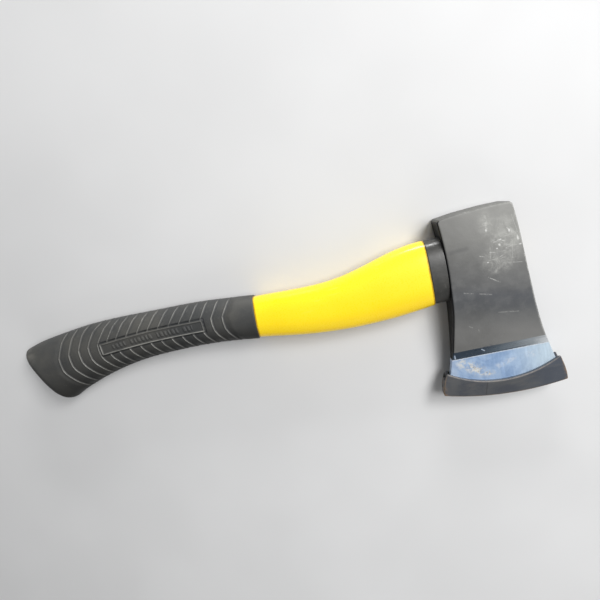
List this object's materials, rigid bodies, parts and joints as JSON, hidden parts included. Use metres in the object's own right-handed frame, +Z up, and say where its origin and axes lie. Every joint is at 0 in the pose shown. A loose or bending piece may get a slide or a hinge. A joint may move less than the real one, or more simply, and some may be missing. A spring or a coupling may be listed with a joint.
{
  "type": "camp hatchet",
  "caption": "Camp hatchet with a satin black forged head, yellow jacketed fibreglass handle, ribbed rubber grip, black neck collar and a pull-off rubber blade guard.",
  "frame": {"origin": "on the plane of the resting cheek, straight below the middle of the eye", "axes": "+X along the eye from the butt towards the far side of the head, +Y from the cutting edge towards the poll, +Z up through the thickness"},
  "size_m": [0.3986, 0.1373, 0.026],
  "materials": {
    "head": "satin",
    "core": "matte",
    "resin": "satin",
    "wedge": "satin",
    "jacket": "gloss",
    "grip": "matte",
    "collar": "satin",
    "guard": "matte"
  },
  "bodies": {
    "main": {"axe_head": "head", "handle_core": "core", "eye_resin": "resin", "eye_wedge": "wedge", "handle_jacket": "jacket", "rubber_grip": "grip", "neck_collar": "collar"},
    "guard": {"blade_guard": "guard"}
  },
  "joints": [
    {"name": "guard_slide", "type": "slide", "parent": "main", "child": "guard", "axis": [0, -1, 0], "range_m": [0, 0.045]}
  ]
}
